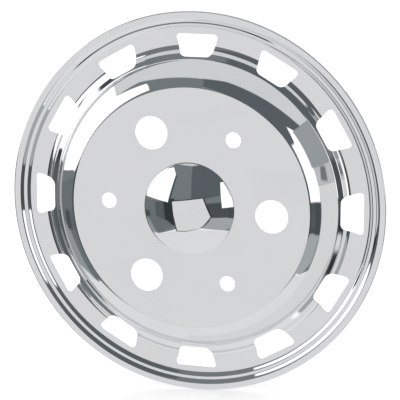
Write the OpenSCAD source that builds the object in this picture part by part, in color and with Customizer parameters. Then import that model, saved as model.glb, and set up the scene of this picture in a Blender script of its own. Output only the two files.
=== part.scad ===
// Front wheel simulator for a light truck: one pressed and polished sheet.
// Drawn in its own frame: the wheel axis lies along Y, the dome looks toward -Y, and +Z is up.
// The origin is the centre of the stud circle, on the back face of the flat plate.

/* [Sheet] */
// Thickness of the sheet
sheet_t = 1.2; // [0.8:0.1:1.6]

/* [Outer lip] */
// Width of the lip, from the outer edge to the corner where its slope starts
lip_w = 7.9; // [6.5:0.1:12]
// Height of the lip in front of the ring
lip_h = 5.2; // [3:0.1:6]
// Width of each of the two slopes that rise from the ring to the lip
lip_slope_w = 4.4; // [3.8:0.1:6]
// Width of the narrow shelf between those slopes
lip_shelf_w = 4.2; // [3.6:0.1:6]
// Inside radius of the bends at both ends of each slope
lip_bend_r = 5.5; // [2:0.5:6.5]
// Gap inside the folded outer edge
hem_gap = 0.8; // [0.4:0.1:1.2]
// Width of the strip folded back behind the lip
hem_w = 7; // [5:0.5:8]

/* [Ring and hand holes] */
// Width of the flat ring, from the foot of the step to the corner where the lip's slope starts
ring_w = 24.6; // [22:0.2:34]
// Number of hand holes round the ring
hand_holes = 12; // [8:1:13]
// Angle of the first hand hole, counter-clockwise from +X seen from the front
hand_hole_turn = -3.7; // [-15:0.1:15]
// Width of a hand hole along its outer edge, between sharp corners
hand_hole_outer_w = 55; // [48:1:62]
// Width of a hand hole along its inner edge, between sharp corners
hand_hole_inner_w = 38; // [32:1:44]
// Corner radius at the outer edge of a hand hole
hand_hole_outer_r = 5; // [3:0.5:7]
// Corner radius at the inner edge of a hand hole
hand_hole_inner_r = 8.5; // [5:0.5:10]
// Distance from the outer edge of a hand hole to the corner where the lip's slope starts
hand_hole_land = 7.2; // [5:0.1:10]
// Depth that the inner edge of a hand hole cuts past the edge of the ledge, toward the wall
hand_hole_bite = 2.4; // [0:0.1:4]

/* [Step and crown] */
// Height of the flat plate in front of the ring
crown_h = 30.8; // [26:0.2:34]
// Width of the gentle slope round the plate
shoulder_w = 10.7; // [8:0.1:13]
// Height that the gentle slope falls
shoulder_drop = 6.5; // [5:0.1:8]
// Inside radius of the bend at the edge of the plate
plate_bend_r = 8; // [4:0.5:12]
// Inside radius of the bend between the gentle slope and the wall
shoulder_bend_r = 40; // [20:1:60]
// Width of the steep wall
wall_w = 21; // [18:0.2:26]
// Radius of the bend at the foot of the wall
wall_foot_r = 4; // [2:0.5:6]
// Width of the narrow ledge at the foot of the wall
ledge_w = 2.8; // [2.4:0.1:5]
// Height that the ledge falls
ledge_drop = 0.7; // [0.4:0.1:1.4]
// Inside radius of the bend at the edge of the ledge
ledge_bend_r = 3; // [1.5:0.5:4.5]
// Width of the step between the ledge and the ring
step_w = 7.2; // [5:0.1:9]
// Height of that step
step_h = 6.7; // [4:0.1:8]
// Radius of the bend at the foot of the step
step_foot_r = 7; // [3:0.5:10]

/* [Plate and studs] */
// Diameter of the flat plate, between its sharp corners
plate_d = 298.6; // [290:0.2:306]
// Diameter of the stud circle
stud_circle_d = 205; // [185:0.5:222]
// Angle of the first nut hole, counter-clockwise from +X seen from the front
stud_turn = -5.7; // [-60:0.1:60]
// Number of nut holes, and of the stud holes between them
stud_pairs = 3; // [2:1:4]
// Diameter of the holes that clear the wheel nuts
nut_hole_d = 41; // [34:0.5:46]
// Diameter of the holes that the studs pass through
stud_hole_d = 19.4; // [14:0.1:26]

/* [Dome] */
// Diameter of the dome where it meets the plate
dome_d = 112.6; // [90:0.2:124]
// Slope of the dome at its rim, in degrees
dome_slope = 35; // [20:1:50]
// Radius of the bend where the dome meets the plate
dome_root_r = 3; // [1:0.5:5]

/* [Hidden] */

// Largest distance between a bend and the flats that stand for it, and facets of round shapes
bend_tolerance = 0.04;
round_fn = 180;
hole_fn = 64;
// Distance that a cutter runs past the sheet
cut_past = 2;

// Radii of the sharp corners of the section, from the plate outward
plate_r = plate_d / 2;
shoulder_r = plate_r + shoulder_w;
wall_foot_at = shoulder_r + wall_w;
ledge_edge_at = wall_foot_at + ledge_w;
step_foot_at = ledge_edge_at + step_w;
ring_corner_at = step_foot_at + ring_w;
lip_shelf_at = ring_corner_at + lip_slope_w;
lip_rise_at = lip_shelf_at + lip_shelf_w;
lip_corner_at = lip_rise_at + lip_slope_w;

// Diameter over the folded outer edge
outer_d = 2 * (lip_corner_at + lip_w);
outer_r = outer_d / 2;

// Heights of the front face, measured from the back face of the plate toward the front
plate_h = sheet_t;
ring_h = plate_h - crown_h;
lip_shelf_h = ring_h + lip_h / 2;
lip_top_h = ring_h + lip_h;
ledge_edge_h = ring_h + step_h;
wall_foot_h = ledge_edge_h + ledge_drop;
shoulder_h = plate_h - shoulder_drop;
hem_back_h = lip_top_h - 2 * sheet_t - hem_gap;
hem_bend_r = 0.4 * hem_gap;

// The dome's crown starts on the axis and ends where the bend at its root starts
dome_root_cut = dome_root_r * tan(dome_slope / 2);
crown_corner_at = (dome_d / 2 - dome_root_cut * cos(dome_slope)) / (1 + cos(dome_slope));
crown_h_over_plate = (dome_d / 2 - crown_corner_at) * tan(dome_slope);
crown_r = crown_corner_at / tan(dome_slope / 2) - sheet_t;
dome_top_h = plate_h + crown_h_over_plate;

// Corners of the front face, from the axis outward: radius, height and inside bend radius
SECTION = [
    [0, dome_top_h, 0],
    [crown_corner_at, dome_top_h, crown_r],
    [dome_d / 2, plate_h, dome_root_r],
    [plate_r, plate_h, plate_bend_r],
    [shoulder_r, shoulder_h, shoulder_bend_r],
    [wall_foot_at, wall_foot_h, wall_foot_r],
    [ledge_edge_at, ledge_edge_h, ledge_bend_r],
    [step_foot_at, ring_h, step_foot_r],
    [ring_corner_at, ring_h, lip_bend_r],
    [lip_shelf_at, lip_shelf_h, lip_bend_r],
    [lip_rise_at, lip_shelf_h, lip_bend_r],
    [lip_corner_at, lip_top_h, lip_bend_r],
    [outer_r, lip_top_h, hem_bend_r],
    [outer_r, hem_back_h, hem_bend_r],
    [outer_r - hem_w, hem_back_h, 0]
];

// Edges of a hand hole, as distances from the axis
hand_hole_outer_at = ring_corner_at - hand_hole_land;
hand_hole_inner_at = ledge_edge_at - hand_hole_bite;

// Heading of the line from a to b, and the signed turn at b, positive to the left
function heading(a, b) = atan2(b[1] - a[1], b[0] - a[0]);
function wrap(angle) = angle > 180 ? angle - 360 : angle < -180 ? angle + 360 : angle;
function turn(a, b, c) = wrap(heading(b, c) - heading(a, b));
function along(angle) = [cos(angle), sin(angle)];
function left_of(angle) = [-sin(angle), cos(angle)];

// Length that a bend of radius r takes off each leg of the corner a, b, c
function bend_cut(a, b, c, r) = r * tan(abs(turn(a, b, c)) / 2);

// Centre of a bend of radius r in the corner a, b, c
function bend_centre(a, b, c, r) =
    [b[0], b[1]] - bend_cut(a, b, c, r) * along(heading(a, b))
    + sign(turn(a, b, c)) * r * left_of(heading(a, b));

// Radius of a bend on the front face: a bend away from the front is wider there by the sheet
function front_r(a, b, c) = b[2] + (turn(a, b, c) < 0 ? sheet_t : 0);

// Points of one bend on the face that lies depth behind the front face
function bend(a, b, c, depth) =
    let (t = turn(a, b, c),
         r = front_r(a, b, c),
         centre = bend_centre(a, b, c, r),
         steps = max(1, ceil(abs(t) / (2 * acos(1 - bend_tolerance / r)))))
    [for (i = [0:steps])
        let (p = centre - (sign(t) * r + depth) * left_of(heading(a, b) + t * i / steps))
        [max(p[0], 0), p[1]]];

// One whole face of the sheet, from the axis to the end of the hem
function face(depth) =
    let (last = len(SECTION) - 1,
         end = [SECTION[last][0], SECTION[last][1]])
    concat(
        [for (i = [1:last - 1]) each bend(SECTION[i - 1], SECTION[i], SECTION[i + 1], depth)],
        [end - depth * left_of(heading(SECTION[last - 1], SECTION[last]))]);

function reversed(list) = [for (i = [len(list) - 1:-1:0]) list[i]];

// The sheet as pressed, lying face up, before any hole is punched
module pressed_sheet() {
    rotate_extrude($fn = round_fn)
        polygon(concat(face(0), reversed(face(sheet_t))));
}

// Outline of a four-sided hole with rounded corners, from its corners and their radii
module rounded_outline(corners) {
    count = len(corners);
    polygon([for (i = [0:count - 1])
        let (a = corners[(i + count - 1) % count],
             b = corners[i],
             c = corners[(i + 1) % count],
             cut = bend_cut(a, b, c, b[2]))
        each [[b[0], b[1]] - cut * along(heading(a, b)), [b[0], b[1]] + cut * along(heading(b, c))]]);
    for (i = [0:count - 1])
        translate(bend_centre(corners[(i + count - 1) % count], corners[i],
                              corners[(i + 1) % count], corners[i][2]))
            circle(r = corners[i][2], $fn = hole_fn);
}

// Upright cutter through the whole depth of the part
module punch() {
    low = ring_h - sheet_t - cut_past;
    translate([0, 0, low])
        linear_extrude(height = dome_top_h + cut_past - low)
            children();
}

module hand_hole() {
    punch()
        rounded_outline([
            [hand_hole_inner_at, -hand_hole_inner_w / 2, hand_hole_inner_r],
            [hand_hole_outer_at, -hand_hole_outer_w / 2, hand_hole_outer_r],
            [hand_hole_outer_at, hand_hole_outer_w / 2, hand_hole_outer_r],
            [hand_hole_inner_at, hand_hole_inner_w / 2, hand_hole_inner_r]
        ]);
}

module round_hole(d) {
    punch()
        circle(d = d, $fn = hole_fn);
}

// Nut holes and stud holes, turn about on one circle
module stud_pattern() {
    for (i = [0:stud_pairs - 1], second = [0, 1])
        rotate(stud_turn + (i + second / 2) * 360 / stud_pairs)
            translate([stud_circle_d / 2, 0])
                round_hole(second == 0 ? nut_hole_d : stud_hole_d);
}

module hand_hole_ring() {
    for (i = [0:hand_holes - 1])
        rotate(hand_hole_turn + i * 360 / hand_holes)
            hand_hole();
}

// The whole part: pressed, punched and stood up on its wheel axis
module wheel_simulator() {
    color("silver")
        rotate([90, 0, 0])
            difference() {
                pressed_sheet();
                stud_pattern();
                hand_hole_ring();
            }
}

wheel_simulator();
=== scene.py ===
"""Polished front wheel simulator of a light truck, on a pale floor in a plain studio.

The part is one pressed sheet with a dome, a raised plate, a ring of hand holes and a folded lip.
Its section is drawn in millimetres and spun round the wheel axis, which lies along Y.
"""

import logging
import math
from dataclasses import dataclass
from enum import Enum

import bmesh
import bpy
from mathutils import Matrix, Vector


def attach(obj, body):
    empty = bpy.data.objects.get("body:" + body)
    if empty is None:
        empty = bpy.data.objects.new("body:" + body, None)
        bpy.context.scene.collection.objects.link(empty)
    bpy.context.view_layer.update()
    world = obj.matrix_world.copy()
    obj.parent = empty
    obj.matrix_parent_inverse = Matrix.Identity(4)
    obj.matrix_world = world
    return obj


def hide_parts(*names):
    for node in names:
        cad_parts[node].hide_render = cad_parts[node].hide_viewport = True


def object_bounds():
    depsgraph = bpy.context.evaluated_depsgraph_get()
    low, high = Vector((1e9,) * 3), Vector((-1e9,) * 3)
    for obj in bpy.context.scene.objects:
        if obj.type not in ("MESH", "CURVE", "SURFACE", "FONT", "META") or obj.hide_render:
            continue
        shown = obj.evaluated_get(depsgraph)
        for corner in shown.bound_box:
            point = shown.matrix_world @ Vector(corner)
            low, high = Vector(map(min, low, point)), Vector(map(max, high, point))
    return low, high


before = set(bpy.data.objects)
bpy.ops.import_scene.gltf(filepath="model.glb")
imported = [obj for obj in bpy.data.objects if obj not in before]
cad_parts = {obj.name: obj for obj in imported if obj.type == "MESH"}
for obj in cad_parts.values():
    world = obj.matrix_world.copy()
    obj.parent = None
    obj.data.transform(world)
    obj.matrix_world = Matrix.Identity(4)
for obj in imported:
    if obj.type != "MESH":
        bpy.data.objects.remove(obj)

CAD_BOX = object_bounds()
METRES = 0.001

logger = logging.getLogger("wheel_simulator_scene")


class Skin(Enum):
    """Side of the pressed sheet, by the number of its material."""

    FRONT = 0
    BACK = 1


@dataclass(frozen=True)
class Corner:
    """Sharp corner of the section on the front face, with the inside radius of its bend."""

    radius: float
    height: float
    bend: float = 0.0

    def point(self) -> Vector:
        """Place of the corner in the drawing plane: out along X, and toward the truck along Y."""
        return Vector((self.radius, -self.height, 0.0))


@dataclass(frozen=True)
class Stretch:
    """Straight or bent stretch of one face of the section."""

    start: Vector
    end: Vector
    centre: Vector | None
    angle: float
    outward: Vector

    def distance(self, point: Vector) -> float:
        """How far a point of the drawing plane lies from this stretch.

        Args:
            point: Point of the drawing plane, in millimetres.

        Returns:
            The distance in millimetres.
        """
        if self.centre is not None:
            arm = point - self.centre
            radius = (self.start - self.centre).length
            bearing = (self.start - self.centre).xy.angle_signed(arm.xy, 0.0) if arm.length > 1e-6 else 0.0
            if -1e-4 <= -bearing * math.copysign(1.0, self.angle) <= abs(self.angle) + 1e-4:
                return abs(arm.length - radius)
            return min((point - self.start).length, (point - self.end).length)
        along = self.end - self.start
        share = min(max((point - self.start).dot(along) / max(along.length_squared, 1e-12), 0.0), 1.0)
        return (point - self.start - along * share).length

    def normal(self, point: Vector) -> Vector:
        """Outward direction of the face beside a point.

        Args:
            point: Point of the drawing plane, on or beside this stretch.

        Returns:
            A unit vector in the drawing plane.
        """
        if self.centre is None:
            return self.outward
        arm = (point - self.centre).normalized()
        return arm if arm.dot(self.outward) > 0.0 else -arm


@dataclass
class SheetSection:
    """Section of the pressed sheet, from the wheel axis to the folded edge. Sizes in millimetres."""

    sheet: float = 1.2
    crown_height: float = 30.8
    dome_diameter: float = 112.6
    dome_slope: float = 35.0
    dome_root_bend: float = 3.0
    plate_diameter: float = 298.6
    plate_bend: float = 8.0
    shoulder_width: float = 18.9
    shoulder_drop: float = 10.45
    shoulder_bend: float = 75.0
    wall_width: float = 10.6
    wall_foot_bend: float = 5.0
    ledge_width: float = 7.0
    ledge_drop: float = 2.0
    ledge_bend: float = 3.0
    step_width: float = 6.45
    step_height: float = 5.41
    step_foot_bend: float = 12.5
    ring_width: float = 23.55
    lip_slope_width: float = 4.4
    lip_shelf_width: float = 3.7
    lip_shelf_fall: float = 0.45
    lip_shelf_bend: float = 2.5
    lip_rise_width: float = 4.5
    lip_bend: float = 5.5
    lip_width: float = 8.1
    lip_height: float = 5.2
    hem_gap: float = 0.8
    hem_width: float = 7.0
    hem_bend_share: float = 0.4
    fineness: float = 0.006
    smallest_bend: float = 0.3

    def ring_height(self) -> float:
        """Height of the ring's front face over the back of the plate."""
        return self.sheet - self.crown_height

    def wall_foot_at(self) -> float:
        """Distance from the axis to the corner at the foot of the wall."""
        return self.plate_diameter / 2 + self.shoulder_width + self.wall_width

    def ledge_edge_at(self) -> float:
        """Distance from the axis to the edge of the ledge."""
        return self.wall_foot_at() + self.ledge_width

    def ring_corner_at(self) -> float:
        """Distance from the axis to the corner where the lip's slope starts."""
        return self.ledge_edge_at() + self.step_width + self.ring_width

    def corners(self) -> list[Corner]:
        """Corners of the front face from the axis outward.

        Returns:
            The corners, the first on the axis and the last at the end of the folded edge.
        """
        slope = math.radians(self.dome_slope)
        rim = self.dome_diameter / 2
        root_cut = self.dome_root_bend * math.tan(slope / 2)
        crown_at = (rim - root_cut * math.cos(slope)) / (1 + math.cos(slope))
        top = self.sheet + (rim - crown_at) * math.tan(slope)
        plate_at = self.plate_diameter / 2
        ring = self.ring_height()
        ledge = ring + self.step_height
        shelf_at = self.ring_corner_at() + self.lip_slope_width
        rise_at = shelf_at + self.lip_shelf_width
        lip_at = rise_at + self.lip_rise_width
        edge_at = lip_at + self.lip_width
        shelf = ring + self.lip_height / 2
        lip = ring + self.lip_height
        hem = lip - 2 * self.sheet - self.hem_gap
        return [
            Corner(0.0, top),
            Corner(crown_at, top, crown_at / math.tan(slope / 2) - self.sheet),
            Corner(rim, self.sheet, self.dome_root_bend),
            Corner(plate_at, self.sheet, self.plate_bend),
            Corner(plate_at + self.shoulder_width, self.sheet - self.shoulder_drop, self.shoulder_bend),
            Corner(self.wall_foot_at(), ledge + self.ledge_drop, self.wall_foot_bend),
            Corner(self.ledge_edge_at(), ledge, self.ledge_bend),
            Corner(self.ring_corner_at() - self.ring_width, ring, self.step_foot_bend),
            Corner(self.ring_corner_at(), ring, self.lip_bend),
            Corner(shelf_at, shelf + self.lip_shelf_fall / 2, self.lip_shelf_bend),
            Corner(rise_at, shelf - self.lip_shelf_fall / 2, self.lip_shelf_bend),
            Corner(lip_at, lip, self.lip_bend),
            Corner(edge_at, lip, self.hem_bend_share * self.hem_gap),
            Corner(edge_at, hem, self.hem_bend_share * self.hem_gap),
            Corner(edge_at - self.hem_width, hem),
        ]

    def stretches(self, depth: float) -> list[Stretch]:
        """Straight and bent stretches of the face that lies at a depth behind the front face.

        Args:
            depth: Distance behind the front face, 0 or the sheet's thickness.

        Returns:
            The stretches in order from the axis outward.
        """
        marks = self.corners()
        facing = -1.0 if depth == 0.0 else 1.0
        made: list[Stretch] = []
        here: Vector | None = None
        for before, at, after in zip(marks, marks[1:], marks[2:]):
            come = (at.point() - before.point()).normalized()
            leave = (after.point() - at.point()).normalized()
            turn = math.atan2(come.cross(leave).z, come.dot(leave))
            side = math.copysign(1.0, turn)
            radius = at.bend + (self.sheet if turn > 0.0 else 0.0)
            cut = radius * math.tan(abs(turn) / 2)
            left = Vector((-come.y, come.x, 0.0))
            left_after = Vector((-leave.y, leave.x, 0.0))
            centre = at.point() - come * cut + left * side * radius
            start = centre - left * (side * radius - depth)
            end = centre - left_after * (side * radius - depth)
            start.x = max(start.x, 0.0)
            if here is not None:
                made.append(Stretch(here, start, None, 0.0, left * facing))
            made.append(Stretch(start, end, centre, turn, left * facing))
            here = end
        last = marks[-1].point() + left_after * depth
        made.append(Stretch(here, last, None, 0.0, left_after * facing))
        return made

    def draw(self, bm: bmesh.types.BMesh, depth: float) -> list[bmesh.types.BMVert]:
        """Draws one face of the section as a wire.

        Args:
            bm: Mesh that takes the wire.
            depth: Distance behind the front face.

        Returns:
            The first and the last vertex of the wire.
        """
        stretches = self.stretches(depth)
        first = bm.verts.new(stretches[0].start)
        pen = first
        for stretch in stretches:
            if stretch.centre is None:
                pen = self._draw_line(bm, pen, stretch.end)
            else:
                pen = self._draw_bend(bm, pen, stretch)
        return [first, pen]

    def _draw_line(self, bm: bmesh.types.BMesh, pen: bmesh.types.BMVert, end: Vector) -> bmesh.types.BMVert:
        """Draws a straight line from the pen.

        Args:
            bm: Mesh that takes the line.
            pen: Vertex that the line starts from.
            end: Point that the line ends at.

        Returns:
            The vertex at the end.
        """
        made = bmesh.ops.extrude_vert_indiv(bm, verts=[pen])
        bmesh.ops.translate(bm, verts=made["verts"], vec=end - pen.co)
        return made["verts"][0]

    def _draw_bend(self, bm: bmesh.types.BMesh, pen: bmesh.types.BMVert, bend: Stretch) -> bmesh.types.BMVert:
        """Draws a bend from the pen by turning it round the bend's centre.

        Args:
            bm: Mesh that takes the bend.
            pen: Vertex that the bend starts from.
            bend: The bend to draw.

        Returns:
            The vertex at the end.
        """
        radius = max((bend.start - bend.centre).length, self.smallest_bend)
        step = 2 * math.acos(1 - self.fineness / radius)
        made = bmesh.ops.spin(
            bm,
            geom=[pen],
            cent=bend.centre,
            axis=(0.0, 0.0, 1.0),
            angle=bend.angle,
            steps=max(2, math.ceil(abs(bend.angle) / step)),
            use_merge=False,
        )
        return [item for item in made["geom_last"] if isinstance(item, bmesh.types.BMVert)][0]


def repeat_round_axis(bm: bmesh.types.BMesh, verts: list[bmesh.types.BMVert], count: int) -> None:
    """Repeats an outline at even angles round the wheel axis.

    Args:
        bm: Mesh that holds the outline.
        verts: Vertices of the outline.
        count: Number of outlines, the first included.
    """
    edges = {edge for vert in verts for edge in vert.link_edges}
    faces = {face for vert in verts for face in vert.link_faces}
    bmesh.ops.spin(
        bm,
        geom=[*verts, *edges, *faces],
        cent=(0.0, 0.0, 0.0),
        axis=(0.0, 1.0, 0.0),
        angle=math.tau * (count - 1) / count,
        steps=count - 1,
        use_duplicate=True,
    )


@dataclass
class RoundHoles:
    """Nut holes and stud holes, turn about on the stud circle. Sizes in millimetres."""

    circle_diameter: float = 205.0
    first_angle: float = -5.7
    pairs: int = 3
    nut_diameter: float = 41.0
    stud_diameter: float = 19.4
    segments: int = 128

    def cut_outlines(self, bm: bmesh.types.BMesh) -> None:
        """Draws each hole's outline as a flat face looking along the wheel axis.

        Args:
            bm: Mesh of the cutters.
        """
        for place, diameter in enumerate((self.nut_diameter, self.stud_diameter)):
            angle = math.radians(self.first_angle + place * 180 / self.pairs)
            centre = Vector((math.cos(angle), 0.0, math.sin(angle))) * self.circle_diameter / 2
            made = bmesh.ops.create_circle(
                bm,
                cap_ends=True,
                segments=self.segments,
                radius=diameter / 2,
                matrix=Matrix.Translation(centre) @ Matrix.Rotation(math.radians(90), 4, "X"),
            )
            repeat_round_axis(bm, made["verts"], self.pairs)


@dataclass
class HandHoles:
    """Four-sided hand holes with rounded corners round the ring. Sizes in millimetres."""

    count: int = 12
    first_angle: float = -3.7
    outer_width: float = 55.0
    inner_width: float = 38.0
    outer_radius: float = 5.0
    inner_radius: float = 8.5
    land: float = 7.4
    length: float = 27.0
    corner_steps: int = 12

    def cut_outlines(self, bm: bmesh.types.BMesh, inner_at: float, outer_at: float) -> None:
        """Draws each hole's outline as a flat face looking along the wheel axis.

        Args:
            bm: Mesh of the cutters.
            inner_at: Distance from the axis to the inner edge.
            outer_at: Distance from the axis to the outer edge.
        """
        wide = self.outer_width / 2
        narrow = self.inner_width / 2
        shape = [(inner_at, -narrow), (inner_at, narrow), (outer_at, wide), (outer_at, -wide)]
        verts = [bm.verts.new((x, 0.0, z)) for x, z in shape]
        bm.faces.new(verts)
        lean = math.atan2(wide - narrow, outer_at - inner_at)
        self._round(bm, verts[:2], self.inner_radius, math.pi / 2 + lean)
        self._round(bm, verts[2:], self.outer_radius, math.pi / 2 - lean)
        turn = Matrix.Rotation(-math.radians(self.first_angle), 3, "Y")
        bmesh.ops.rotate(bm, verts=bm.verts[:], cent=(0.0, 0.0, 0.0), matrix=turn)
        repeat_round_axis(bm, bm.verts[:], self.count)

    def _round(
        self, bm: bmesh.types.BMesh, verts: list[bmesh.types.BMVert], radius: float, inside: float
    ) -> None:
        """Rounds two corners of the outline to one radius.

        Args:
            bm: Mesh of the cutters.
            verts: The two corners.
            radius: Corner radius in millimetres.
            inside: Angle between the sides at the corners, in radians.
        """
        bmesh.ops.bevel(
            bm,
            geom=verts,
            offset=radius / math.tan(inside / 2),
            offset_type="OFFSET",
            segments=self.corner_steps,
            profile=0.5,
            affect="VERTICES",
            clamp_overlap=False,
            material=-1,
        )


class NodeBench:
    """Places and links shader nodes in one tree."""

    def __init__(self, tree: bpy.types.NodeTree) -> None:
        """Starts on a tree and clears it.

        Args:
            tree: Node tree to fill.
        """
        self.tree = tree
        tree.nodes.clear()

    def add(self, kind: str, inputs: dict | None = None, **settings: object) -> bpy.types.Node:
        """Adds a node, sets its properties and fills its inputs.

        Args:
            kind: Blender's name for the node.
            inputs: A value, or an output socket to link, for each input by name or number.
            **settings: Properties of the node.

        Returns:
            The new node.
        """
        node = self.tree.nodes.new(kind)
        for name, value in settings.items():
            setattr(node, name, value)
        for key, value in (inputs or {}).items():
            if isinstance(value, bpy.types.NodeSocket):
                self.tree.links.new(value, node.inputs[key])
            else:
                node.inputs[key].default_value = value
        return node

    def math(
        self, operation: str, first: object, second: object = 0.0, third: object = 0.0
    ) -> bpy.types.NodeSocket:
        """Adds a Math node.

        Args:
            operation: Blender's name for the operation.
            first: First number or socket.
            second: Second number or socket.
            third: Third number or socket.

        Returns:
            The node's value.
        """
        node = self.add("ShaderNodeMath", {0: first, 1: second, 2: third}, operation=operation)
        return node.outputs[0]

    def vector(self, operation: str, first: object, second: object = (0.0, 0.0, 0.0)) -> bpy.types.Node:
        """Adds a Vector Math node.

        Args:
            operation: Blender's name for the operation.
            first: First vector or socket.
            second: Second vector or socket.

        Returns:
            The node.
        """
        return self.add("ShaderNodeVectorMath", {0: first, 1: second}, operation=operation)

    def blend(self, factor: object, under: object, over: object) -> bpy.types.NodeSocket:
        """Lays one colour over another.

        Args:
            factor: Share of the upper colour.
            under: Lower colour.
            over: Upper colour.

        Returns:
            The mixed colour.
        """
        node = self.add("ShaderNodeMix", data_type="RGBA")
        for key, value in (("Factor_Float", factor), ("A_Color", under), ("B_Color", over)):
            socket = next(item for item in node.inputs if item.identifier == key)
            if isinstance(value, bpy.types.NodeSocket):
                self.tree.links.new(value, socket)
            else:
                socket.default_value = value
        return next(item for item in node.outputs if item.identifier == "Result_Color")


def group_tree(name: str, inputs: dict[str, str], outputs: dict[str, str]) -> bpy.types.NodeTree:
    """Starts a shader node group with its sockets.

    Args:
        name: Name of the group.
        inputs: Socket type for each input by name.
        outputs: Socket type for each output by name.

    Returns:
        The empty group.
    """
    tree = bpy.data.node_groups.new(name, "ShaderNodeTree")
    for label, kind in inputs.items():
        tree.interface.new_socket(name=label, in_out="INPUT", socket_type=kind)
    for label, kind in outputs.items():
        tree.interface.new_socket(name=label, in_out="OUTPUT", socket_type=kind)
    return tree


@dataclass(frozen=True)
class PolishLines:
    """Fine rings that a polishing wheel leaves round the axis of a spun part."""

    group_name: str = "polish_lines"

    def group(self) -> bpy.types.NodeTree:
        """Makes the group once, and returns it."""
        made = bpy.data.node_groups.get(self.group_name)
        return made if made else self._build()

    def _build(self) -> bpy.types.NodeTree:
        """Builds the group: rings of fine noise by distance from the axis, broken up round it.

        Returns:
            The group, with the height of the lines and a mask of where they are dense.
        """
        tree = group_tree(
            self.group_name,
            {"Lines": "NodeSocketFloat", "Break": "NodeSocketFloat"},
            {"Height": "NodeSocketFloat", "Mask": "NodeSocketFloat"},
        )
        bench = NodeBench(tree)
        given = bench.add("NodeGroupInput")
        place = bench.add("ShaderNodeTexCoord").outputs["Object"]
        flat = bench.vector("MULTIPLY", place, (1.0, 0.0, 1.0)).outputs[0]
        radius = bench.vector("LENGTH", flat).outputs["Value"]
        depth = bench.add("ShaderNodeSeparateXYZ", {0: place}).outputs[1]
        ring = bench.math("ADD", bench.math("MULTIPLY", radius, given.outputs["Lines"]),
                          bench.math("MULTIPLY", depth, given.outputs["Lines"]))
        drift = bench.add(
            "ShaderNodeTexNoise", {"Vector": place, "Scale": given.outputs["Break"], "Detail": 2.0}
        )
        shifted = bench.math("MULTIPLY_ADD", drift.outputs[0], 1.5, ring)
        lines = bench.add(
            "ShaderNodeTexNoise", {"W": shifted, "Scale": 1.0, "Detail": 3.0}, noise_dimensions="1D"
        )
        patch = bench.add("ShaderNodeTexNoise", {"Vector": place, "Scale": 9.0, "Detail": 3.0})
        mask = bench.add("ShaderNodeMapRange", {0: patch.outputs[0], 1: 0.42, 2: 0.7, 3: 0.0, 4: 1.0})
        bench.add("NodeGroupOutput", {"Height": lines.outputs[0], "Mask": mask.outputs[0]})
        return tree


@dataclass(frozen=True)
class HandlingMarks:
    """Faint smears and specks that cloth and fingers leave on polished metal."""

    group_name: str = "handling_marks"

    def group(self) -> bpy.types.NodeTree:
        """Makes the group once, and returns it."""
        made = bpy.data.node_groups.get(self.group_name)
        return made if made else self._build()

    def _build(self) -> bpy.types.NodeTree:
        """Builds the group: soft smears stretched across the part, with sparse specks.

        Returns:
            The group, with one mask of smears and one of specks.
        """
        tree = group_tree(
            self.group_name,
            {"Smear Scale": "NodeSocketFloat", "Speck Scale": "NodeSocketFloat"},
            {"Smears": "NodeSocketFloat", "Specks": "NodeSocketFloat"},
        )
        bench = NodeBench(tree)
        given = bench.add("NodeGroupInput")
        place = bench.add("ShaderNodeTexCoord").outputs["Object"]
        slanted = bench.add(
            "ShaderNodeMapping", {"Vector": place, "Rotation": (0.0, 0.6, 0.0), "Scale": (1.0, 1.0, 3.0)}
        )
        smear = bench.add(
            "ShaderNodeTexNoise",
            {
                "Vector": slanted.outputs[0],
                "Scale": given.outputs["Smear Scale"],
                "Detail": 5.0,
                "Distortion": 0.6,
            },
        )
        smears = bench.add("ShaderNodeMapRange", {0: smear.outputs[0], 1: 0.5, 2: 0.78, 3: 0.0, 4: 1.0})
        speck = bench.add("ShaderNodeTexVoronoi", {"Vector": place, "Scale": given.outputs["Speck Scale"]})
        specks = bench.add(
            "ShaderNodeMapRange", {0: speck.outputs["Distance"], 1: 0.0, 2: 0.09, 3: 1.0, 4: 0.0}
        )
        bench.add("NodeGroupOutput", {"Smears": smears.outputs[0], "Specks": specks.outputs[0]})
        return tree


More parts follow.
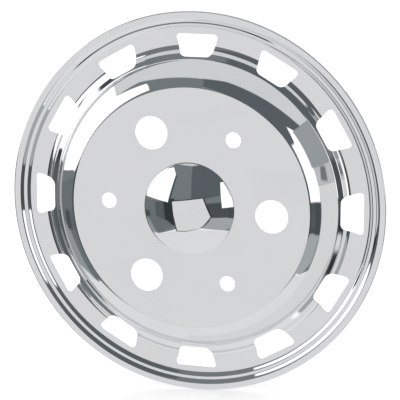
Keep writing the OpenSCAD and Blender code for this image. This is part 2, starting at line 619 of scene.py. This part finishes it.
@dataclass(frozen=True)
class SheetFinish:
    """Stainless sheet with its polish, fine rings and handling marks."""

    name: str
    colour: tuple[float, float, float]
    haze_colour: tuple[float, float, float]
    roughness: float
    haze_roughness: float
    line_count: float
    line_height: float
    wave_height: float
    wave_scale: float = 16.0
    line_break_scale: float = 14.0
    smear_scale: float = 11.0
    speck_scale: float = 160.0

    def material(self) -> bpy.types.Material:
        """Builds the material.

        Returns:
            The finished material.
        """
        made = bpy.data.materials.new(self.name)
        made.use_nodes = True
        bench = NodeBench(made.node_tree)
        lines = bench.add("ShaderNodeGroup", node_tree=PolishLines().group())
        lines.inputs["Lines"].default_value = self.line_count
        lines.inputs["Break"].default_value = self.line_break_scale
        marks = bench.add("ShaderNodeGroup", node_tree=HandlingMarks().group())
        marks.inputs["Smear Scale"].default_value = self.smear_scale
        marks.inputs["Speck Scale"].default_value = self.speck_scale
        smears = bench.math("MULTIPLY", marks.outputs["Smears"], 0.5)
        haze = bench.math("MULTIPLY_ADD", lines.outputs["Mask"], 0.5, smears)
        colour = bench.blend(haze, (*self.colour, 1.0), (*self.haze_colour, 1.0))
        rough = bench.add(
            "ShaderNodeMapRange", {0: haze, 1: 0.0, 2: 1.0, 3: self.roughness, 4: self.haze_roughness}
        ).outputs[0]
        place = bench.add("ShaderNodeTexCoord").outputs["Object"]
        wave = bench.add("ShaderNodeTexNoise", {"Vector": place, "Scale": self.wave_scale, "Detail": 1.0})
        swell = bench.add(
            "ShaderNodeBump", {"Strength": 1.0, "Distance": self.wave_height, "Height": wave.outputs[0]}
        ).outputs[0]
        bump = bench.add(
            "ShaderNodeBump",
            {
                "Strength": 1.0,
                "Distance": self.line_height,
                "Height": lines.outputs["Height"],
                "Normal": swell,
            },
        ).outputs[0]
        shader = bench.add(
            "ShaderNodeBsdfPrincipled",
            {"Base Color": colour, "Metallic": 1.0, "Roughness": rough, "Normal": bump},
        )
        bench.add("ShaderNodeOutputMaterial", {"Surface": shader.outputs[0]})
        return made


@dataclass
class WheelSimulator:
    """The whole part: one pressed, punched and polished sheet."""

    section: SheetSection
    hand_holes: HandHoles
    round_holes: RoundHoles
    turns: int = 240
    punch_reach: float = 60.0
    weld_distance: float = 1e-4
    sharp_angle: float = 35.0
    skin_match: float = 0.9

    def build(self, front: SheetFinish, back: SheetFinish) -> bpy.types.Object:
        """Makes the part, dresses it and seats it on its CAD body.

        Args:
            front: Finish of the side that shows.
            back: Finish of the side that faces the truck, and of the cut edges.

        Returns:
            The finished piece.
        """
        sheet = self._piece("pressed_sheet", self._pressed_sheet())
        punches = self._piece("punches", self._punches())
        mesh = self._punched(sheet, punches)
        mesh.transform(Matrix.Scale(METRES, 4))
        mesh.materials.append(front.material())
        mesh.materials.append(back.material())
        self._shade(mesh)
        piece = bpy.data.objects.new("polished_wheel_simulator", mesh)
        bpy.context.scene.collection.objects.link(piece)
        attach(piece, "root")
        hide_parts("wheel_simulator")
        logger.info("wheel simulator: %d faces", len(mesh.polygons))
        return piece

    def _piece(self, name: str, bm: bmesh.types.BMesh) -> bpy.types.Object:
        """Makes a mesh object from a bmesh and frees the bmesh.

        Args:
            name: Name of the object.
            bm: Mesh data.

        Returns:
            The object, in the scene.
        """
        mesh = bpy.data.meshes.new(name)
        bm.to_mesh(mesh)
        bm.free()
        made = bpy.data.objects.new(name, mesh)
        bpy.context.scene.collection.objects.link(made)
        return made

    def _pressed_sheet(self) -> bmesh.types.BMesh:
        """Spins the section into the sheet as pressed, with no hole in it.

        Returns:
            A closed mesh in millimetres.
        """
        bm = bmesh.new()
        front_ends = self.section.draw(bm, 0.0)
        back_ends = self.section.draw(bm, self.section.sheet)
        bm.edges.new((front_ends[1], back_ends[1]))
        bmesh.ops.spin(
            bm,
            geom=bm.verts[:] + bm.edges[:],
            cent=(0.0, 0.0, 0.0),
            axis=(0.0, 1.0, 0.0),
            angle=math.tau,
            steps=self.turns,
            use_merge=True,
        )
        bmesh.ops.remove_doubles(bm, verts=bm.verts[:], dist=self.weld_distance)
        bmesh.ops.recalc_face_normals(bm, faces=bm.faces[:])
        return bm

    def _punches(self) -> bmesh.types.BMesh:
        """Makes the upright punches of all holes.

        Returns:
            One closed mesh for each hole, in millimetres.
        """
        bm = bmesh.new()
        outer_at = self.section.ring_corner_at() - self.hand_holes.land
        self.hand_holes.cut_outlines(bm, outer_at - self.hand_holes.length, outer_at)
        self.round_holes.cut_outlines(bm)
        bmesh.ops.translate(bm, verts=bm.verts[:], vec=(0.0, -self.punch_reach, 0.0))
        made = bmesh.ops.extrude_face_region(bm, geom=bm.faces[:], use_keep_orig=True)
        raised = [item for item in made["geom"] if isinstance(item, bmesh.types.BMVert)]
        bmesh.ops.translate(bm, verts=raised, vec=(0.0, 2 * self.punch_reach, 0.0))
        bmesh.ops.recalc_face_normals(bm, faces=bm.faces[:])
        return bm

    def _punched(self, sheet: bpy.types.Object, punches: bpy.types.Object) -> bpy.types.Mesh:
        """Cuts the punches out of the sheet, and removes both working objects.

        Args:
            sheet: The sheet as pressed.
            punches: The punches.

        Returns:
            The cut mesh, in millimetres.
        """
        cut = sheet.modifiers.new("punch", "BOOLEAN")
        cut.operation = "DIFFERENCE"
        cut.solver = "EXACT"
        cut.object = punches
        bpy.context.view_layer.update()
        seen = sheet.evaluated_get(bpy.context.evaluated_depsgraph_get())
        mesh = bpy.data.meshes.new_from_object(seen)
        mesh.name = "polished_wheel_simulator"
        bpy.data.objects.remove(sheet)
        bpy.data.objects.remove(punches)
        return mesh

    def _shade(self, mesh: bpy.types.Mesh) -> None:
        """Gives each face its side's material, and each corner the true direction of the bent sheet.

        Args:
            mesh: The punched mesh, in metres.
        """
        skins = {
            Skin.FRONT: self.section.stretches(0.0),
            Skin.BACK: self.section.stretches(self.section.sheet),
        }
        known: dict[tuple[float, float], tuple[Skin, Vector]] = {}
        mesh.set_sharp_from_angle(angle=math.radians(self.sharp_angle))
        normals = [(0.0, 0.0, 0.0)] * len(mesh.loops)
        for face in mesh.polygons:
            face.use_smooth = True
            votes = 0
            found: list[tuple[int, Vector]] = []
            for loop in face.loop_indices:
                spot = mesh.vertices[mesh.loops[loop].vertex_index].co / METRES
                radius = math.hypot(spot.x, spot.z)
                key = (round(radius, 3), round(spot.y, 3))
                if key not in known:
                    known[key] = self._nearest(skins, Vector((radius, spot.y, 0.0)))
                side, flat = known[key]
                votes += 1 if side is Skin.FRONT else -1
                out = Vector((0.0, 0.0, 0.0))
                if radius > 1e-3:
                    out = Vector((spot.x / radius, 0.0, spot.z / radius))
                found.append((loop, (out * flat.x + Vector((0.0, flat.y, 0.0))).normalized()))
            on_skin = all(face.normal.dot(normal) > self.skin_match for _, normal in found)
            face.material_index = Skin.FRONT.value if on_skin and votes > 0 else Skin.BACK.value
            if on_skin:
                for loop, normal in found:
                    normals[loop] = tuple(normal)
        mesh.normals_split_custom_set(normals)

    def _nearest(self, skins: dict[Skin, list[Stretch]], point: Vector) -> tuple[Skin, Vector]:
        """Finds the side of the sheet that a point lies on, and its outward direction there.

        Args:
            skins: Stretches of both faces.
            point: Point of the drawing plane.

        Returns:
            The side, and a unit vector in the drawing plane.
        """
        ranked = [(stretch.distance(point), side.value, place)
                  for side, stretches in skins.items() for place, stretch in enumerate(stretches)]
        _, side_value, place = min(ranked)
        side = Skin(side_value)
        return side, skins[side][place].normal(point)


@dataclass(frozen=True)
class Card:
    """White window or grey card of the studio, as it shows in the polished dome.

    The outline is in millimetres across the dome, right and up from its middle. Its edge is soft over
    the given width, and it shows only beyond the given distance from the middle.
    """

    name: str
    outline: tuple[tuple[float, float], ...]
    level: tuple[float, float, float]
    soft: float = 0.8
    beyond: float = 0.0


@dataclass
class Studio:
    """Floor, world light and camera."""

    cards: tuple[Card, ...]
    room_level: tuple[float, float, float] = (112.0, 118.0, 121.0)
    reflectance: float = 0.84
    dome_radius: float = 96.8
    view_from: tuple[float, float, float] = (0.283, -0.938, 0.2005)
    view_up: tuple[float, float, float] = (0.0, 0.209, 0.978)
    view_offset: tuple[float, float] = (0.0053, 0.0046)
    view_height_y: float = 0.0265
    view_distance: float = 2.378
    lens: float = 175.05
    sensor_width: float = 36.0
    clip_end: float = 50.0
    floor_size: float = 12.0
    floor_grain: float = 900.0
    floor_glow: float = 0.22

    def build(self) -> None:
        """Makes the camera, the world and the floor."""
        self._camera()
        self._world()
        self._floor()

    def light(self, level: tuple[float, float, float]) -> tuple[float, float, float, float]:
        """Light that shows in the polished sheet at a display level.

        Args:
            level: Red, green and blue from 0 to 255, and above 255 for a window that glares.

        Returns:
            The light's colour, with an alpha of 1.
        """
        linear = [((value / 255 + 0.055) / 1.055) ** 2.4 / self.reflectance for value in level]
        return (*linear, 1.0)

    def _camera(self) -> None:
        """Places the camera where the photograph was taken from."""
        data = bpy.data.cameras.new("camera")
        data.lens = self.lens
        data.sensor_width = self.sensor_width
        data.clip_end = self.clip_end
        camera = bpy.data.objects.new("camera", data)
        away = Vector(self.view_from).normalized()
        right = (Vector(self.view_up).cross(away)).normalized()
        up = away.cross(right)
        place = Vector((0.0, self.view_height_y, 0.0)) + right * self.view_offset[0]
        place = place + up * self.view_offset[1] + away * self.view_distance
        camera.matrix_world = Matrix.Translation(place) @ Matrix((right, up, away)).transposed().to_4x4()
        bpy.context.scene.collection.objects.link(camera)
        bpy.context.scene.camera = camera

    def _counter_clockwise(self, outline: tuple[tuple[float, float], ...]) -> tuple[tuple[float, float], ...]:
        """Puts an outline in counter-clockwise order.

        Args:
            outline: Corners of a card.

        Returns:
            The same corners, counter-clockwise.
        """
        area = sum(a[0] * b[1] - b[0] * a[1] for a, b in zip(outline, outline[1:] + outline[:1]))
        return outline if area > 0 else outline[::-1]

    def _edge_group(self) -> bpy.types.NodeTree:
        """Builds the mask of one straight card edge.

        Returns:
            The group: 1 inside the edge, 0 outside, and soft between.
        """
        tree = group_tree(
            "card_edge",
            {"Place": "NodeSocketVector", "Inward": "NodeSocketVector", "Start": "NodeSocketFloat",
             "Soft": "NodeSocketFloat", "Under": "NodeSocketFloat"},
            {"Mask": "NodeSocketFloat"},
        )
        bench = NodeBench(tree)
        given = bench.add("NodeGroupInput")
        reach = bench.vector("DOT_PRODUCT", given.outputs["Place"], given.outputs["Inward"]).outputs["Value"]
        past = bench.math("SUBTRACT", reach, given.outputs["Start"])
        inside = bench.math("DIVIDE", past, given.outputs["Soft"])
        mask = bench.add(
            "ShaderNodeMapRange",
            {0: inside, 1: -0.5, 2: 0.5, 3: 0.0, 4: 1.0},
            interpolation_type="SMOOTHSTEP",
        ).outputs[0]
        bench.add("NodeGroupOutput", {"Mask": bench.math("MULTIPLY", mask, given.outputs["Under"])})
        return tree

    def _world(self) -> None:
        """Builds the world: white to the eye, and the studio's cards to the polished metal."""
        world = bpy.data.worlds.new("studio")
        bpy.context.scene.world = world
        world.use_nodes = True
        bench = NodeBench(world.node_tree)
        toward = bench.add("ShaderNodeTexCoord").outputs["Generated"]
        summed = bench.vector("ADD", toward, tuple(Vector(self.view_from).normalized())).outputs[0]
        facing = bench.vector("NORMALIZE", summed).outputs[0]
        parts = bench.add("ShaderNodeSeparateXYZ", {0: facing})
        place = bench.add("ShaderNodeCombineXYZ", {0: parts.outputs[0], 1: parts.outputs[2]}).outputs[0]
        place = bench.vector("MULTIPLY", place, (self.dome_radius,) * 3).outputs[0]
        reach = bench.vector("LENGTH", place).outputs["Value"]
        edge = self._edge_group()
        colour: object = self.light(self.room_level)
        for card in self.cards:
            mask: object = 1.0
            if card.beyond > 0.0:
                mask = bench.add(
                    "ShaderNodeMapRange",
                    {
                        0: reach,
                        1: card.beyond - card.soft / 2,
                        2: card.beyond + card.soft / 2,
                        3: 0.0,
                        4: 1.0,
                    },
                ).outputs[0]
            outline = self._counter_clockwise(card.outline)
            for here, after in zip(outline, outline[1:] + outline[:1]):
                along = Vector((after[0] - here[0], after[1] - here[1])).normalized()
                inward = (-along.y, along.x, 0.0)
                start = here[0] * inward[0] + here[1] * inward[1]
                node = bench.add(
                    "ShaderNodeGroup",
                    {
                        "Place": place,
                        "Inward": inward,
                        "Start": start,
                        "Soft": card.soft,
                        "Under": mask,
                    },
                    node_tree=edge,
                )
                mask = node.outputs["Mask"]
            colour = bench.blend(mask, colour, self.light(card.level))
        path = bench.add("ShaderNodeLightPath")
        shown = bench.blend(path.outputs["Is Glossy Ray"], (1.0, 1.0, 1.0, 1.0), colour)
        light = bench.add("ShaderNodeBackground", {"Color": shown, "Strength": 1.0})
        bench.add("ShaderNodeOutputWorld", {"Surface": light.outputs[0]})

    def _floor(self) -> None:
        """Lays the pale floor under the part's lowest point."""
        bm = bmesh.new()
        bmesh.ops.create_grid(bm, x_segments=1, y_segments=1, size=self.floor_size / 2)
        bmesh.ops.translate(bm, verts=bm.verts[:], vec=(0.0, 0.0, CAD_BOX[0][2]))
        mesh = bpy.data.meshes.new("floor")
        bm.to_mesh(mesh)
        bm.free()
        floor = bpy.data.objects.new("floor", mesh)
        paper = bpy.data.materials.new("floor_paper")
        paper.use_nodes = True
        bench = NodeBench(paper.node_tree)
        place = bench.add("ShaderNodeTexCoord").outputs["Object"]
        grain = bench.add("ShaderNodeTexNoise", {"Vector": place, "Scale": self.floor_grain, "Detail": 2.0})
        colour = bench.blend(grain.outputs[0], (0.99, 0.99, 0.99, 1.0), (1.0, 1.0, 1.0, 1.0))
        paper_shader = bench.add("ShaderNodeBsdfDiffuse", {"Color": colour})
        path = bench.add("ShaderNodeLightPath")
        glow = bench.math("MULTIPLY", path.outputs["Is Camera Ray"], self.floor_glow)
        lamp = bench.add("ShaderNodeEmission", {"Color": (1.0, 1.0, 1.0, 1.0), "Strength": glow})
        shader = bench.add("ShaderNodeAddShader", {0: paper_shader.outputs[0], 1: lamp.outputs[0]})
        bench.add("ShaderNodeOutputMaterial", {"Surface": shader.outputs[0]})
        mesh.materials.append(paper)
        bpy.context.scene.collection.objects.link(floor)
        floor.visible_glossy = False


def wedge(first: float, last: float) -> tuple[tuple[float, float], ...]:
    """Outline of everything between two directions from the dome's middle.

    Args:
        first: First direction, in degrees counter-clockwise from the right.
        last: Last direction, less than half a turn further.

    Returns:
        Corners of the outline.
    """
    far = 400.0
    angles = (math.radians(first), math.radians((first + last) / 2), math.radians(last))
    return ((0.0, 0.0), *((far * math.cos(angle), far * math.sin(angle)) for angle in angles))


STUDIO_CARDS = (
    Card("ceiling_light", wedge(35, 122), (203, 205, 207), 1.0),
    Card("ceiling_left", ((-22, 12), (12, 12), (12, 53), (-21, 56.5), (-31, 49)), (112, 118, 121), 1.5),
    Card("ceiling_right", ((8, 12), (58, 20), (60, 36), (48.5, 42.3), (39.3, 46.8), (18.7, 54.4),
         (8, 53.5)), (86, 92, 96), 1.5),
    Card("left_wall", ((-100, 36), (-100, -60), (-43, -31), (-13, -22), (-17, 12), (-24, 12), (-53, 20)),
         (104, 110, 113), 1.0),
    Card("left_low", ((-100, -10), (-57, -8), (-50, -14), (-42, -31), (-100, -60)), (142, 146, 149), 4.0,
         50.0),
    Card("left_dark", ((-60, -1), (-46, -1), (-45, -8), (-58, -10)), (72, 77, 80), 2.5, 50.0),
    Card("left_black", ((-41, 10), (-41, -7), (-28, -12), (-17, -14), (-17, 12), (-28, 13)), (84, 89, 92),
         1.5),
    Card("left_black_near", ((-29, 14), (-28, -10), (-18, -18), (-14, -18), (-14, 16)), (48, 53, 56),
         1.5),
    Card("window_post", ((-24, 10), (-20.5, 10), (-10.8, 43), (-14, 45)), (66, 70, 74), 1.0),
    Card("upper_left_window", ((-23, 11), (-12.5, 44), (-16, 52), (-33, 48.6), (-33, 20)),
         (266, 266, 266)),
    Card("far_left_window", ((-23, 11), (-31, 49.5), (-90, 147), (-200, 147), (-200, 42)),
         (266, 266, 266)),
    Card("right_middle", ((27, 9), (27, -9), (49, -11), (49, 9)), (72, 77, 80), 1.5),
    Card("lower_right_grey", ((14, -22), (44, -27), (51, -24), (56, -11), (27, -9), (20, -14)),
         (159, 163, 166), 1.0),
    Card("right_dark", ((49, 2), (49, -11), (58, -13), (60, 2)), (70, 75, 79), 1.5),
    Card("table_left", ((-100, -24), (-54, -28), (-33, -31), (-30, -60), (-100, -60)), (212, 213, 215),
         2.5),
    Card("table_edge", ((-44, -31.5), (-13, -22.5), (15, -21.5), (51, -28.2), (100, -42), (100, -90),
         (0, -140), (-100, -60)), (246, 247, 248), 0.8),
    Card("table", ((-44, -31.5), (-13, -24), (14, -23), (51, -28.2), (100, -42), (100, -90), (0, -140),
         (-100, -62)), (217, 218, 220), 1.0),
    Card("card_edge", ((-18.3, 13.2), (-17.2, -5), (-14.3, -26), (-3, -26.2), (13, -23.2), (20.6, -20.2),
         (27.5, -14), (31.5, -8), (28.6, 3), (23, 16.7)), (46, 50, 54), 0.8),
    Card("front_card", ((-17, 12), (-16, -5), (-13, -25.2), (-3, -25.4), (14, -22.6), (19.8, -19.4),
         (25, -14.2), (30, -8), (22, 15.5)), (213, 213, 214), 0.6),
    Card("right_window", ((44, 2), (57, 2), (57, 12), (52.5, 27), (47.5, 33), (42, 33)), (266, 266, 266)),
    Card("right_far", wedge(-95, 9), (210, 211, 212), 1.0, 57.5),
    Card("right_far_shelf", wedge(9, 17), (186, 188, 190), 1.0, 57.0),
    Card("right_far_box", ((61, 12), (69, 12), (69, 20), (63, 19)), (112, 117, 120), 2.0),
    Card("right_far_grey", wedge(17, 35), (148, 152, 155), 1.0, 55.5),
)


def main() -> None:
    """Builds the studio and the part, and reports each."""
    logging.basicConfig(level=logging.INFO, format="%(message)s")
    scene = bpy.context.scene
    scene.view_settings.view_transform = "Standard"
    Studio(cards=STUDIO_CARDS).build()
    logger.info("studio: %s", ", ".join(card.name for card in STUDIO_CARDS))
    front = SheetFinish(
        name="polished_stainless_sheet",
        colour=(0.84, 0.845, 0.85),
        haze_colour=(0.80, 0.81, 0.82),
        roughness=0.02,
        haze_roughness=0.05,
        line_count=2600.0,
        line_height=0.0000002,
        wave_height=0.00002,
    )
    back = SheetFinish(
        name="plain_stainless_sheet",
        colour=(0.62, 0.63, 0.635),
        haze_colour=(0.56, 0.565, 0.57),
        roughness=0.26,
        haze_roughness=0.38,
        line_count=1400.0,
        line_height=0.000004,
        wave_height=0.00002,
    )
    part = WheelSimulator(section=SheetSection(), hand_holes=HandHoles(), round_holes=RoundHoles())
    part.build(front, back)


if __name__ == "__main__":
    main()
